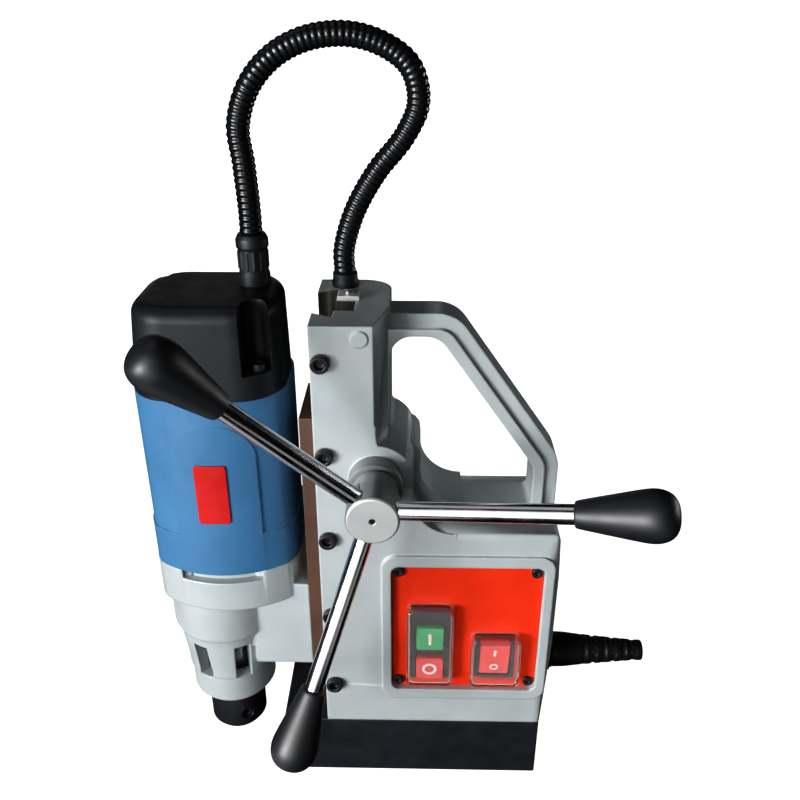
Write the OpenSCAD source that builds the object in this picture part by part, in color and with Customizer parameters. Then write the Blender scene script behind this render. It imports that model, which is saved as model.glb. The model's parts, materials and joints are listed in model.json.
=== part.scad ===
// Magnetic drill press: an electromagnet base, a cast stand with a carrying handle,
// a dovetail slide with rack feed, and a geared drill head. Sizes in millimetres.
// Origin: centre of the magnet's underside. X along the magnet, Y to the back, Z up.

/* [Magnet] */
// Length of the electromagnet.
magnet_length = 165; // [161:1:170]
// Depth of the electromagnet and of the stand, front to back.
magnet_depth = 74; // [73:1:78]
// Height of the electromagnet.
magnet_height = 46; // [43:1:49]
// Width of the winding slot cut into the underside.
coil_slot = 12; // [9:1:13]
// Length of the centre pole inside the winding.
pole_length = 117; // [110:1:122]
// Depth of the centre pole inside the winding.
pole_depth = 26; // [22:1:28]

/* [Stand] */
// Height of the column top above the work.
stand_height = 319; // [316:1:326]
// Distance of the column's left face from the middle of the magnet.
column_offset = 54; // [53:1:56]
// Width of the column's front face.
column_width = 33; // [32:1:35]
// How much wider the column is behind its front face.
column_flare = 8; // [7:1:9]
// Radius of the column's rear corner.
column_round = 16; // [12:1:18]
// Height of the control box shoulder.
shoulder_height = 197; // [195:1:199]
// Radius of the shoulder's front edge.
shoulder_round = 9; // [7:1:11]
// Radius of the shoulder's rear edge.
shoulder_back = 24; // [20:1:26]
// How far the right wall of the control box bulges past the magnet.
box_bulge = 4; // [3:0.5:5]
// Height of the feed shaft above the work.
feed_height = 229; // [227:1:231]
// How far the feed boss stands in front of the column.
boss_reach = 10; // [8:1:11]
// Thickness of the floor between control box and magnet.
floor_thickness = 12; // [10:1:13]

/* [Carrying handle] */
// Thickness of the slanted grip.
grip_thickness = 14.5; // [13.5:0.5:16]
// Thickness of the grip's top arm.
arm_thickness = 12; // [11:0.5:14]
// How far the top arm lies below the column top.
arm_drop = 3; // [2:0.5:4]
// Depth of the grip, front to back.
grip_depth = 26; // [24:1:28]
// Where the top arm bends down, from the middle of the magnet.
grip_bend = 22.5; // [20:0.5:25]
// Height at which the slanted grip turns upright.
grip_foot = 228; // [225:1:231]
// Width of the outer step along the grip.
grip_step = 8; // [7:0.5:9]

/* [Slide] */
// Length of the slide rail.
rail_length = 178; // [174:1:182]
// Width of the slide rail, front to back.
rail_width = 46; // [45:1:48]
// Thickness of the rail outside the column.
rail_plate = 9.3; // [8.8:0.1:10]
// Height of the rail's lower end at the bottom of its travel.
rail_bottom = 81; // [79:1:83]
// Width of the dovetail at its widest.
dovetail_width = 40; // [39:0.5:41]
// Depth of the dovetail groove.
dovetail_depth = 11.2; // [10.8:0.1:11.4]
// Thickness of the gib strip, front to back.
gib_thickness = 4; // [3.5:0.1:4.5]
// Clearance between sliding flanks.
slide_gap = 0.12; // [0.08:0.01:0.16]
// Number of gib screws.
gib_count = 5; // [4:1:5]
// Distance of the top gib screw from the column top.
gib_top = 20; // [18:1:22]
// Distance of the lowest gib screw from the magnet.
gib_low = 32; // [30:1:34]
// Head diameter of the gib screws.
gib_head = 10; // [9:0.5:11]
// Head height of the gib screws.
gib_head_height = 4; // [3.5:0.5:6]

/* [Feed] */
// Rack thickness from the rail to its pitch line.
rack_body = 7.5; // [7.2:0.1:7.8]
// Height of the rack's lower end above the rail's lower end.
rack_clear = 25; // [24:0.5:25]
// Rack and pinion face width.
rack_width = 13; // [12:0.5:13]
// Radius of the feed shaft.
shaft_radius = 8; // [7.5:0.1:8.4]
// Radius of the feed hub.
hub_radius = 14.2; // [13.8:0.1:15]
// Length of the feed hub.
hub_length = 29; // [28:0.5:30]
// Radius of the feed rods.
rod_radius = 5; // [4.6:0.1:5.2]
// Distance from hub centre to the tip of a knob.
lever_length = 152; // [146:1:155]
// Length of a knob.
knob_length = 48; // [45:1:50]
// Largest radius of a knob.
knob_radius = 13; // [12:0.2:13.6]
// Lean of the rods towards the user.
lever_lean = 17; // [15:0.5:18]
// Angle of the first rod above the horizontal.
lever_angle = 11.4; // [10:0.2:12]

/* [Drill head] */
// Distance of the motor axis from the rail.
motor_reach = 49; // [48.5:0.1:49.5]
// Distance of the spindle axis beyond the motor axis.
spindle_offset = 8; // [7.6:0.1:8.4]
// Width of the motor housing.
motor_width = 86; // [85:0.5:87]
// Depth of the motor housing, front to back.
motor_depth = 74; // [73:0.5:76]
// Corner radius of the motor housing.
motor_round = 26; // [25:0.5:28]
// Radius of the motor housing's rounded front.
motor_crown = 62; // [58:1:68]
// Height of the motor housing.
motor_height = 113; // [110:1:116]
// Height of the wider foot of the motor housing.
foot_height = 26; // [24:1:28]
// How far foot and arch panel stand proud of the motor housing.
motor_relief = 0.8; // [0.6:0.1:1]
// Width of the arch panel on the front of the motor housing.
arch_width = 47.5; // [46:0.5:49]
// Distance of the arch panel's top from the housing's top.
arch_drop = 14; // [12:1:16]
// Height of the end cap.
cap_height = 51; // [49:1:53]
// How much narrower the end cap is than the housing, each side.
cap_inset = 1.5; // [1:0.5:2]
// Height of the arbor's lower face above the work at the bottom of the travel.
arbor_clearance = 14; // [12:1:16]
// How far the arbor hangs below the nose.
arbor_hang = 33; // [31:1:34]
// Radius of the arbor.
arbor_radius = 18.5; // [17.5:0.1:19]
// Diameter of the arbor's shank bore.
shank_bore = 19.05; // [19.05:0.05:19.2]
// Depth of the arbor's shank bore.
shank_depth = 28; // [26:1:30]
// Radius of the nose ring.
nose_radius = 27; // [26.5:0.1:27.5]
// Height of the nose windows.
window_height = 28; // [26:1:29]
// Width of the nose windows.
window_width = 10; // [9:0.5:12]
// Angle of the nose windows from the line between spindle and rail.
window_turn = 64; // [60:1:66]
// Radius of the gearbox body.
body_radius = 34; // [33.5:0.1:35]
// Radius of the armature.
armature_radius = 19; // [18.5:0.1:19.2]
// Air gap and clearance around spinning parts.
spin_gap = 0.6; // [0.5:0.05:0.8]
// Clearance of running fits.
fit_gap = 0.05; // [0.03:0.01:0.08]

/* [Controls] */
// Width of the control panel.
panel_width = 90; // [88:0.5:91]
// Height of the control panel.
panel_height = 95.5; // [94:0.5:97]
// Position of the panel's middle along the magnet.
panel_middle = 32.5; // [32:0.1:33]
// Height of the panel's middle.
panel_level = 122.5; // [122:0.5:124]
// Thickness of the panel plate.
panel_plate = 1.5; // [1.2:0.1:1.6]
// Depth of the panel's seat behind the stand's front face.
panel_sink = 4; // [3.5:0.1:4.5]
// Travel of the start and stop buttons.
button_travel = 2.5; // [2:0.1:2.6]
// Side of a button.
button_side = 16.5; // [15.5:0.5:17]
// Swing of the magnet rocker.
rocker_swing = 18; // [14:1:19]
// Height of the clear switch cover in front of the panel.
cover_height = 8.6; // [8.4:0.1:10]
// Wall of the clear covers.
cover_wall = 1.5; // [1.2:0.1:1.6]

/* [Cables] */
// Radius of the flexible hose over its ribs.
hose_radius = 6.2; // [6:0.1:6.3]
// Radius of the bore inside hose and boot.
cable_bore = 4; // [3.6:0.1:4.2]
// Length of the cord boot.
boot_length = 60; // [54:1:64]
// Height of the cord entry.
boot_level = 74; // [73:0.5:76]

/* [Hidden] */
$fn = 64;

cast_grey = [0.74, 0.75, 0.76];
black = [0.06, 0.06, 0.065];
steel = [0.62, 0.63, 0.65];
bright = [0.82, 0.83, 0.85];
blue = [0.12, 0.36, 0.65];
orange_red = [0.86, 0.18, 0.1];
rail_brown = [0.45, 0.25, 0.17];
copper = [0.72, 0.38, 0.18];
bronze = [0.66, 0.5, 0.25];
clear = [0.85, 0.9, 0.92, 0.35];
green = [0.1, 0.55, 0.3];
red = [0.8, 0.15, 0.14];

front = -magnet_depth / 2;
back = magnet_depth / 2;
column_left = -column_offset;
column_right = column_left + column_width;
flank = tan(30);

// Dovetail, rack and feed shaft.
feed_module = 1.5;
feed_teeth = 20;
tongue_back = column_left + dovetail_depth - 0.2;
rail_right = column_left - 0.2;
rail_left = rail_right - rail_plate;
tongue_half = dovetail_width / 2;
rack_middle = -7;
pitch_line = tongue_back + rack_body;
pinion_radius = feed_module * feed_teeth / 2;
pinion_tip = pinion_radius + feed_module;
feed_x = pitch_line + pinion_radius;
boss_radius = pinion_tip + 4.5;
bush_radius = shaft_radius + 3;
boss_nose = bush_radius + 4;
pinion_front = rack_middle - rack_width / 2 - 0.5;
pinion_back = rack_middle + rack_width / 2 + 0.5;
bush_back = pinion_back + 1 + 13;
gib_screw_x = column_left + dovetail_depth / 2;
gib_first = stand_height - gib_top;
gib_pitch = (gib_first - magnet_height - gib_low) / (gib_count - 1);
function tongue_at(x) = tongue_half - (tongue_back - x) * flank;

// Feed levers.
hub_back = front - boss_reach - 1.5;
hub_front = hub_back - hub_length;
lever_y = hub_front + 10.5;
rod_start = shaft_radius + 1;
knob_start = lever_length - knob_length;

// Drill head.
motor_x = rail_left - motor_reach;
spindle_x = motor_x - spindle_offset;
nose_z = arbor_clearance + arbor_hang;
ring_top = nose_z + 22;
window_z = ring_top + 1;
shoulder_z = window_z + window_height + 6;
bearing_z = shoulder_z + 6;
cavity_z = bearing_z + 7;
collar_z = cavity_z + 19;
collar_height = 26;
motor_front = -motor_depth / 2 - motor_relief;
arch_x = motor_x + 2.3;
label_width = 18;
label_height = 38;
label_plate = 0.8;
label_gap = 0.05;
motor_z = collar_z + collar_height;
plate_z = motor_z - 7;
cap_z = motor_z + motor_height;
cap_top = cap_z + cap_height;
stator_z = motor_z + 23;
stator_height = 55;
stator_radius = 33.5;
spin_radius = armature_radius + spin_gap;
commutator_z = cap_z - 25;
upper_bearing_z = cap_z + 24;
first_module = 0.7;
first_small = 12;
first_large = 42;
second_module = 1.1;
second_small = 12;
second_large = 28;
first_centres = first_module * (first_small + first_large) / 2;
second_centres = second_module * (second_small + second_large) / 2;
idler_dx = (second_centres * second_centres - first_centres * first_centres
    - spindle_offset * spindle_offset) / (2 * spindle_offset);
idler_dy = sqrt(first_centres * first_centres - idler_dx * idler_dx);
idler_x = motor_x + idler_dx;
first_angle = atan2(idler_dy, idler_dx);
second_angle = atan2(-idler_dy, spindle_x - idler_x);
screw_dx = motor_width / 2 - motor_round + 0.49 * motor_round;
screw_dy = motor_depth / 2 - motor_round + 0.49 * motor_round;

// Controls.
recess_y = front + panel_sink;
panel_face = recess_y - panel_plate;
screw_across = panel_width - 9;
screw_up = panel_height - 11;
switch_x = panel_middle - 21.5;
switch_z = panel_level - 11;
switch_width = 25;
switch_length = 55;
rocker_x = panel_middle + 18.5;
rocker_z = panel_level - 21.75;
rocker_width = 18;
rocker_length = 26;
start_z = switch_z + 6.5;
stop_z = switch_z - 17;
board_y = 8;
cavity_left = panel_middle - 36;
cavity_right = panel_middle + 42;
cavity_floor = magnet_height + floor_thickness;
cavity_top = panel_level + 47;
pad_face = magnet_length / 2 + box_bulge + 1.5;
gland_face = pad_face + 5;

// Flexible hose: route points from the column top to the drill head.
hose_x = -39.5;
hose_y = 27;
clamp_x = -36;
connector_x = motor_x + 25;
connector_y = 9;
connector_top = cap_top + 28;
gland_top = stand_height + 8;
hose_ribs = 120;
hose_sides = 8;
hose_route = [
    [hose_x, hose_y, gland_top], [hose_x, hose_y, gland_top + 14], [-33, 26, 362], [-21, 25, 383],
    [-6.5, 24, 401], [1, 22, 418], [-2.5, 20, 435], [-15, 19, 445.5], [-33, 17, 451], [-53, 15, 449.5],
    [-70.5, 13, 441.5], [-83.5, 11, 427.5], [connector_x - 2.5, 10, 409],
    [connector_x - 1, connector_y, 390],
    [connector_x, connector_y, connector_top + 14], [connector_x, connector_y, connector_top]];

function unit(v) = v / norm(v);
function involute(a) = tan(a) * 180 / PI - a;
function tooth_half(r, rp, teeth, slack) = let (rb = rp * cos(25), a = acos(min(1, rb / max(r, rb))))
    90 / teeth + involute(25) - involute(a) - slack / rp * 90 / PI;
function spline(p, i, t) = let (n = len(p), a = p[max(i - 1, 0)], b = p[i], c = p[min(i + 1, n - 1)],
    d = p[min(i + 2, n - 1)])
    0.5 * (2 * b + (c - a) * t + (2 * a - 5 * b + 4 * c - d) * t * t + (3 * b - a - 3 * c + d) * t * t * t);
function on_route(p, s) = let (k = s * (len(p) - 1), i = min(floor(k), len(p) - 2)) spline(p, i, k - i);

module y_extrude(y0, y1) {
    translate([0, y1, 0]) rotate([90, 0, 0]) linear_extrude(y1 - y0) children();
}

module x_extrude(x0, x1) {
    translate([x0, 0, 0]) rotate([90, 0, 90]) linear_extrude(x1 - x0) children();
}

module y_cylinder(x, z, r, y0, y1) {
    translate([x, y1, z]) rotate([90, 0, 0]) cylinder(r = r, h = y1 - y0);
}

module x_cylinder(y, z, r, x0, x1) {
    translate([x0, y, z]) rotate([0, 90, 0]) cylinder(r = r, h = x1 - x0);
}

module z_cylinder(x, y, r, z0, z1) {
    translate([x, y, z0]) cylinder(r = r, h = z1 - z0);
}

module rounded(w, h, r) {
    square([w - 2 * r, h], center = true);
    square([w, h - 2 * r], center = true);
    for (x = [-1, 1], y = [-1, 1]) translate([x * (w / 2 - r), y * (h / 2 - r)]) circle(r);
}

module rounded_poly(p, r) {
    n = len(p);
    c = [for (i = [0 : n - 1]) let (b = p[i], u = unit(p[(i + n - 1) % n] - b),
        v = unit(p[(i + 1) % n] - b), h = acos(u * v) / 2)
        [b + u * r[i] / tan(h), b + v * r[i] / tan(h), b + unit(u + v) * r[i] / sin(h)]];
    polygon([for (i = [0 : n - 1]) each (r[i] > 0 ? [c[i][0], c[i][1]] : [p[i]])]);
    for (i = [0 : n - 1]) if (r[i] > 0) translate(c[i][2]) circle(r[i]);
}

module gear_outline(teeth, m, slack) {
    rp = m * teeth / 2;
    radii = [rp - 1.2 * m, rp - 0.6 * m, rp, rp + 0.5 * m, rp + 0.95 * m];
    polygon([for (i = [0 : teeth - 1], side = [-1, 1], k = [0 : 4])
        let (r = radii[side < 0 ? k : 4 - k], a = i * 360 / teeth + side * tooth_half(r, rp, teeth, slack))
        [r * cos(a), r * sin(a)]]);
}

// Electromagnet.
module coil_ring(grow) {
    difference() {
        square([pole_length + 2 * (coil_slot - grow), pole_depth + 2 * (coil_slot - grow)], center = true);
        square([pole_length + 2 * grow, pole_depth + 2 * grow], center = true);
    }
}

module bolt_spots() {
    for (x = [-28, 28], y = [-18, 18]) translate([panel_middle + x + 3, y, 0]) children();
}

module magnet_body() {
    color(black) difference() {
        translate([-magnet_length / 2, front, 0]) cube([magnet_length, magnet_depth, magnet_height]);
        translate([0, 0, -1]) linear_extrude(magnet_height - 11) coil_ring(0);
        bolt_spots() z_cylinder(0, 0, 4, magnet_height - 11, magnet_height + 1);
        z_cylinder(pole_length / 2 + coil_slot / 2, 0, 3, magnet_height - 14, magnet_height + 1);
    }
}

module magnet_coil() {
    color(copper) translate([0, 0, 8]) linear_extrude(magnet_height - 20) coil_ring(0.1);
}

module magnet_potting() {
    color([0.12, 0.12, 0.13]) translate([0, 0, 0.5]) linear_extrude(7.5) coil_ring(0);
}

module magnet_bolts() {
    color(steel) bolt_spots() union() {
        z_cylinder(0, 0, 4, magnet_height - 10, cavity_floor + 1);
        difference() {
            z_cylinder(0, 0, 6.5, cavity_floor, cavity_floor + 8);
            translate([0, 0, cavity_floor + 4]) cylinder(r = 3.5, h = 5, $fn = 6);
        }
    }
}

// Cast stand.
module column_plan() {
    x = column_right + column_flare;
    polygon([[column_left, front], [column_right, front], [x, front + 30], [x, back - column_round],
        [x - column_round, back], [column_left, back]]);
    translate([x - column_round, back - column_round]) circle(column_round);
}

module box_front() {
    right = magnet_length / 2;
    polygon([[column_left + 10, magnet_height], [right, magnet_height],
        [right + box_bulge, magnet_height + 64], [right + box_bulge, shoulder_height - 37],
        [right + box_bulge * 0.6, shoulder_height - 9], [right - 3, shoulder_height],
        [column_left + 10, shoulder_height]]);
}

module box_side() {
    rounded_poly([[front, magnet_height], [back, magnet_height], [back, shoulder_height],
        [front, shoulder_height]], [0, 0, shoulder_back, shoulder_round]);
}

module box_plan() {
    x = magnet_length / 2 + box_bulge + 1;
    rounded_poly([[column_left + 10, front], [x, front], [x, back], [column_left + 10, back]],
        [0, 9, 9, 0]);
}

grip_right = magnet_length / 2 + 1.5;
grip_top = stand_height - arm_drop;
grip_a = [grip_bend, grip_top];
grip_b = [grip_right, grip_foot];
grip_dir = unit(grip_b - grip_a);
grip_in = [grip_dir[1], -grip_dir[0]];
function slant_at_z(z, t) = let (q = grip_a + grip_in * t)
    [q[0] + grip_dir[0] * (z - q[1]) / grip_dir[1], z];
function slant_at_x(x, t) = let (q = grip_a + grip_in * t)
    [x, q[1] + grip_dir[1] * (x - q[0]) / grip_dir[0]];

module grip_outer(t) {
    low = shoulder_height - 14;
    rounded_poly([[column_right, low], [column_right, grip_top - t], slant_at_z(grip_top - t, t),
        slant_at_x(grip_right - t, t), [grip_right - t, low]], [0, 0, 20 - t, 22 - t, 0]);
}

module grip_window() {
    x0 = column_right + column_flare;
    x1 = grip_right - grip_thickness;
    z1 = grip_top - arm_thickness;
    rounded_poly([[x0, shoulder_height], [x0, z1], slant_at_z(z1, grip_thickness),
        slant_at_x(x1, grip_thickness), [x1, shoulder_height]], [0, 12, 14, 14, 3]);
}

module boss_web(dx, dz) {
    x = column_right - 4;
    translate([dx, dz]) difference() {
        polygon([[x - dx, feed_height + 33], [feed_x + 15.5, feed_height + 33],
            [feed_x + 15.5, feed_height + 5], [feed_x + 19.5, feed_height - 0.5],
            [feed_x + 20.5, feed_height - 8], [feed_x + 45.5, feed_height - 14],
            [feed_x + 45.5, shoulder_height - 12], [x - dx, shoulder_height - 12]]);
        translate([column_right + 29, feed_height + 29]) circle(28.3);
        translate([feed_x + 45.5, shoulder_height + 21]) circle(25.7);
    }
}

module groove_plan() {
    x0 = column_left - 1;
    x1 = tongue_back + 0.2;
    gap = slide_gap + gib_thickness;
    polygon([[x0, -tongue_at(x0) - gap], [x1, -tongue_at(x1) - gap],
        [x1, tongue_at(x1) + slide_gap], [x0, tongue_at(x0) + slide_gap]]);
    translate([x1 - 1, rack_middle - rack_width / 2 - 1])
        square([pitch_line + feed_module + 2 - x1 + 1, rack_width + 2]);
}

module gib_spots() {
    for (i = [0 : gib_count - 1]) translate([gib_screw_x, 0, gib_first - i * gib_pitch]) children();
}

module panel_spots() {
    for (x = [-1, 1], z = [-1, 1])
        translate([panel_middle + x * screw_across / 2, 0, panel_level + z * screw_up / 2]) children();
}

module board_spots() {
    for (x = [-26, 26], z = [-34, 34]) translate([panel_middle + 3 + x, 0, panel_level - 4 + z]) children();
}

module stand_casting() {
    color(cast_grey) difference() {
        union() {
            translate([0, 0, magnet_height]) linear_extrude(stand_height - magnet_height) column_plan();
            intersection() {
                y_extrude(front, back) box_front();
                x_extrude(column_left + 5, 120) box_side();
                translate([0, 0, magnet_height - 5]) linear_extrude(shoulder_height) box_plan();
            }
            y_cylinder(feed_x, feed_height, boss_radius, front, 26);
            y_cylinder(feed_x, feed_height, boss_nose, front - boss_reach, front + 5);
            y_extrude(front, -10) boss_web(0, 0);
            y_extrude(-12, 24) boss_web(4.5, 5);
            y_extrude(-grip_depth / 2 + 3, grip_depth / 2 - 3) difference() {
                grip_outer(0);
                grip_window();
            }
            y_extrude(-grip_depth / 2, grip_depth / 2) difference() {
                grip_outer(grip_step);
                grip_window();
            }
            y_extrude(front - 1.5, front + 8) translate([panel_middle, panel_level])
                rounded(panel_width + 11, panel_height + 15, 9);
            x_cylinder(0, boot_level, 15, pad_face - 20, pad_face);
            y_cylinder(column_right - 7, stand_height - 7, 4.5, front - 0.8, front + 2);
        }
        // Panel recess, opening and inner room.
        y_extrude(front - 5, recess_y) translate([panel_middle, panel_level])
            rounded(panel_width, panel_height, 5);
        y_extrude(recess_y - 1, front + 10) translate([panel_middle + 1, panel_level])
            square([panel_width - 18, panel_height - 18], center = true);
        difference() {
            translate([cavity_left, front + 8, cavity_floor])
                cube([cavity_right - cavity_left, magnet_depth - 18, cavity_top - cavity_floor]);
            board_spots() y_cylinder(0, 0, 4, board_y + 1.6, back);
        }
        panel_spots() y_cylinder(0, 0, 1.5, front - 5, front + 8.5);
        board_spots() y_cylinder(0, 0, 1.2, board_y, board_y + 9);
        // Dovetail groove, rack channel and feed shaft room.
        translate([0, 0, magnet_height - 1]) linear_extrude(stand_height) groove_plan();
        y_cylinder(feed_x, feed_height, pinion_tip + 1.5, pinion_front - 1, pinion_back + 1);
        y_cylinder(feed_x, feed_height, bush_radius, front - boss_reach - 1, bush_back);
        gib_spots() y_cylinder(0, 0, 3, front - 1, -14);
        // Cable ways.
        z_cylinder(hose_x, hose_y, 5, 140, stand_height + 1);
        x_cylinder(20, 145, 4, hose_x, cavity_left + 1);
        x_cylinder(0, boot_level, 8, cavity_right - 1, pad_face + 1);
        z_cylinder(clamp_x, rack_middle + 13, 1.4, stand_height - 9, stand_height + 1);
        // Fixing to the magnet.
        bolt_spots() z_cylinder(0, 0, 4.2, magnet_height - 1, cavity_floor + 1);
        z_cylinder(pole_length / 2 + coil_slot / 2, 0, 3, magnet_height - 1, cavity_floor + 1);
    }
}

module gib_plan(grow) {
    x0 = column_left + 0.8;
    x1 = tongue_back - 0.4;
    polygon([[x0, -tongue_at(x0) - slide_gap - gib_thickness - grow],
        [x1, -tongue_at(x1) - slide_gap - gib_thickness - grow],
        [x1, -tongue_at(x1) - slide_gap], [x0, -tongue_at(x0) - slide_gap]]);
}

module gib_strip() {
    color(bronze) translate([0, 0, magnet_height + 4])
        linear_extrude(stand_height - magnet_height - 6) gib_plan(0);
}

module gib_screws() {
    color(black) gib_spots() difference() {
        union() {
            y_cylinder(0, 0, gib_head / 2, front - gib_head_height, front);
            y_cylinder(0, 0, 2.9, front - 1, -12);
        }
        translate([0, front - gib_head_height + 2.8, 0]) rotate([90, 0, 0])
            cylinder(r = 2.8, h = 5, $fn = 6);
        translate([-gib_screw_x, 0, -10]) linear_extrude(20) polygon([
            [column_left - 4, -tongue_at(column_left - 4) - slide_gap - gib_thickness],
            [tongue_back + 4, -tongue_at(tongue_back + 4) - slide_gap - gib_thickness],
            [tongue_back + 4, 20], [column_left - 4, 20]]);
    }
}

module feed_bushes() {
    color(bronze) for (y = [[front - boss_reach, front - boss_reach + 13], [bush_back - 13, bush_back]])
        difference() {
            y_cylinder(feed_x, feed_height, bush_radius, y[0], y[1]);
            y_cylinder(feed_x, feed_height, shaft_radius + fit_gap, y[0] - 1, y[1] + 1);
        }
}

// Controls.
module switch_hole() {
    translate([switch_x, switch_z]) square([switch_width - 3, switch_length - 2], center = true);
}

module rocker_hole() {
    translate([rocker_x, rocker_z]) square([rocker_width + 5, rocker_length + 5], center = true);
}

module control_panel() {
    color(orange_red) difference() {
        y_extrude(panel_face, recess_y) translate([panel_middle, panel_level])
            rounded(panel_width - 0.4, panel_height - 0.4, 4.8);
        panel_spots() y_cylinder(0, 0, 1.5, front - 5, front + 8);
        y_extrude(front - 5, front + 5) switch_hole();
        y_extrude(front - 5, front + 5) rocker_hole();
    }
}

module panel_screws() {
    color(black) panel_spots() difference() {
        union() {
            y_cylinder(0, 0, 3.2, panel_face - 2, panel_face);
            y_cylinder(0, 0, 1.5, panel_face - 1, front + 8);
        }
        translate([0, panel_face - 0.8, 0]) rotate([90, 0, 0]) cylinder(r = 1.5, h = 5, $fn = 6);
    }
}

module switch_body() {
    color([0.1, 0.1, 0.11]) difference() {
        union() {
            y_extrude(panel_face - 3, panel_face) translate([switch_x, switch_z])
                rounded(switch_width, switch_length, 3);
            y_extrude(panel_face - 1, panel_face + 28) switch_hole();
        }
        for (z = [start_z, stop_z]) y_extrude(panel_face - 5, panel_face + 4 + button_travel)
            translate([switch_x, z]) rounded(button_side + 0.8, button_side + 0.8, 2.4);
    }
}

module push_button(z) {
    y_extrude(panel_face - 6, panel_face + 3.5) translate([switch_x, z])
        rounded(button_side, button_side, 2);
}

module start_button() {
    color(green) union() {
        push_button(start_z);
        y_extrude(panel_face - 6.4, panel_face - 5) translate([switch_x, start_z])
            square([1.8, 8], center = true);
    }
}

module stop_button() {
    color(red) union() {
        push_button(stop_z);
        y_extrude(panel_face - 6.4, panel_face - 5) translate([switch_x, stop_z]) difference() {
            circle(4.4);
            circle(2.9);
        }
    }
}

module clear_cover(x, z, w, h, depth) {
    color(clear) difference() {
        y_extrude(panel_face - depth, panel_face) translate([x, z])
            rounded(w + 2 * cover_wall, h + 2 * cover_wall, 3.2 + cover_wall);
        y_extrude(panel_face - depth + cover_wall, panel_face + 1) translate([x, z]) rounded(w, h, 3.2);
    }
}

module switch_cover() {
    clear_cover(switch_x, switch_z, switch_width + 0.4, switch_length + 0.4, cover_height);
}

module rocker_housing() {
    color([0.1, 0.1, 0.11]) difference() {
        union() {
            y_extrude(panel_face - 2, panel_face) translate([rocker_x, rocker_z])
                rounded(rocker_width + 7, rocker_length + 6.5, 2);
            y_extrude(panel_face - 1, panel_face + 20) rocker_hole();
        }
        y_extrude(panel_face - 5, panel_face + 8) translate([rocker_x, rocker_z])
            square([rocker_width + 1, rocker_length + 2.4], center = true);
    }
}

module magnet_rocker() {
    w = rocker_width;
    color(red) translate([rocker_x, panel_face + 1, rocker_z]) rotate([rocker_swing / 2, 0, 0]) union() {
        translate([-w / 2, -4.5, -rocker_length / 2]) cube([w, 5.5, rocker_length]);
        x_cylinder(0, 0, 4, -w / 2, w / 2);
        y_extrude(-4.9, -4) translate([0, 6.5]) square([1.4, 5], center = true);
        y_extrude(-4.9, -4) translate([0, -6.5]) difference() {
            circle(2.7);
            circle(1.7);
        }
    }
}

module rocker_cover() {
    clear_cover(rocker_x, rocker_z, rocker_width + 9.6, rocker_length + 8, cover_height + 0.6);
}

module control_board() {
    x = panel_middle + 3;
    z = panel_level - 4;
    color([0.1, 0.35, 0.18]) difference() {
        union() {
            translate([x - 31, board_y, z - 39]) cube([62, 1.6, 78]);
            translate([x - 8, board_y - 9, z + 12]) cube([20, 9.5, 18]);
            translate([x - 20, board_y - 8, z - 12]) cube([24, 8.5, 16]);
            y_cylinder(x + 16, z - 4, 6, board_y - 10, board_y + 0.5);
        }
        board_spots() y_cylinder(0, 0, 1.2, board_y - 1, board_y + 9);
    }
}

module board_screws() {
    color(steel) board_spots() union() {
        y_cylinder(0, 0, 2.6, board_y - 2, board_y);
        y_cylinder(0, 0, 1.2, board_y - 1, board_y + 8.5);
    }
}

// Cable entries.
module top_gland() {
    color(black) translate([hose_x, hose_y, 0]) rotate_extrude() polygon([[cable_bore, stand_height - 10],
        [5, stand_height - 10], [5, stand_height], [7.6, stand_height], [7.6, stand_height + 3],
        [7, stand_height + 4], [7, gland_top], [cable_bore, gland_top]]);
}

module clamp_plate() {
    color(bright) difference() {
        translate([clamp_x - 6, rack_middle + 8, stand_height]) cube([12, 11, 2.5]);
        z_cylinder(clamp_x, rack_middle + 13, 1.4, stand_height - 1, stand_height + 5);
    }
}

module clamp_screw() {
    color(steel) difference() {
        union() {
            z_cylinder(clamp_x, rack_middle + 13, 2.6, stand_height + 2.5, stand_height + 4.5);
            z_cylinder(clamp_x, rack_middle + 13, 1.4, stand_height - 8, stand_height + 3);
        }
        translate([clamp_x - 4, rack_middle + 12.6, stand_height + 3.6]) cube([8, 0.8, 3]);
    }
}

module cord_gland() {
    color(black) translate([0, 0, boot_level]) rotate([0, 90, 0]) difference() {
        union() {
            translate([0, 0, cavity_right]) cylinder(r = 8, h = pad_face - cavity_right + 1);
            translate([0, 0, pad_face]) cylinder(r = 13.5, h = 3);
            translate([0, 0, pad_face + 2]) cylinder(r = 11.8, h = gland_face - pad_face - 2);
        }
        translate([0, 0, cavity_right - 1]) cylinder(r = cable_bore + 1, h = 60);
    }
}

module cord_boot() {
    l = boot_length;
    color(black) translate([gland_face, 0, boot_level]) rotate([0, 90, 0]) difference() {
        rotate_extrude() polygon([[cable_bore, 0], [11.5, 0], [11.2, 8], [10.4, l * 0.3], [6.6, l],
            [cable_bore, l]]);
        for (k = [0 : 6]) translate([0, 0, 14 + k * (l - 22) / 6]) rotate_extrude()
            translate([8.9 - k * 0.52, -1.3]) square([6, 2.6]);
    }
}

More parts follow.
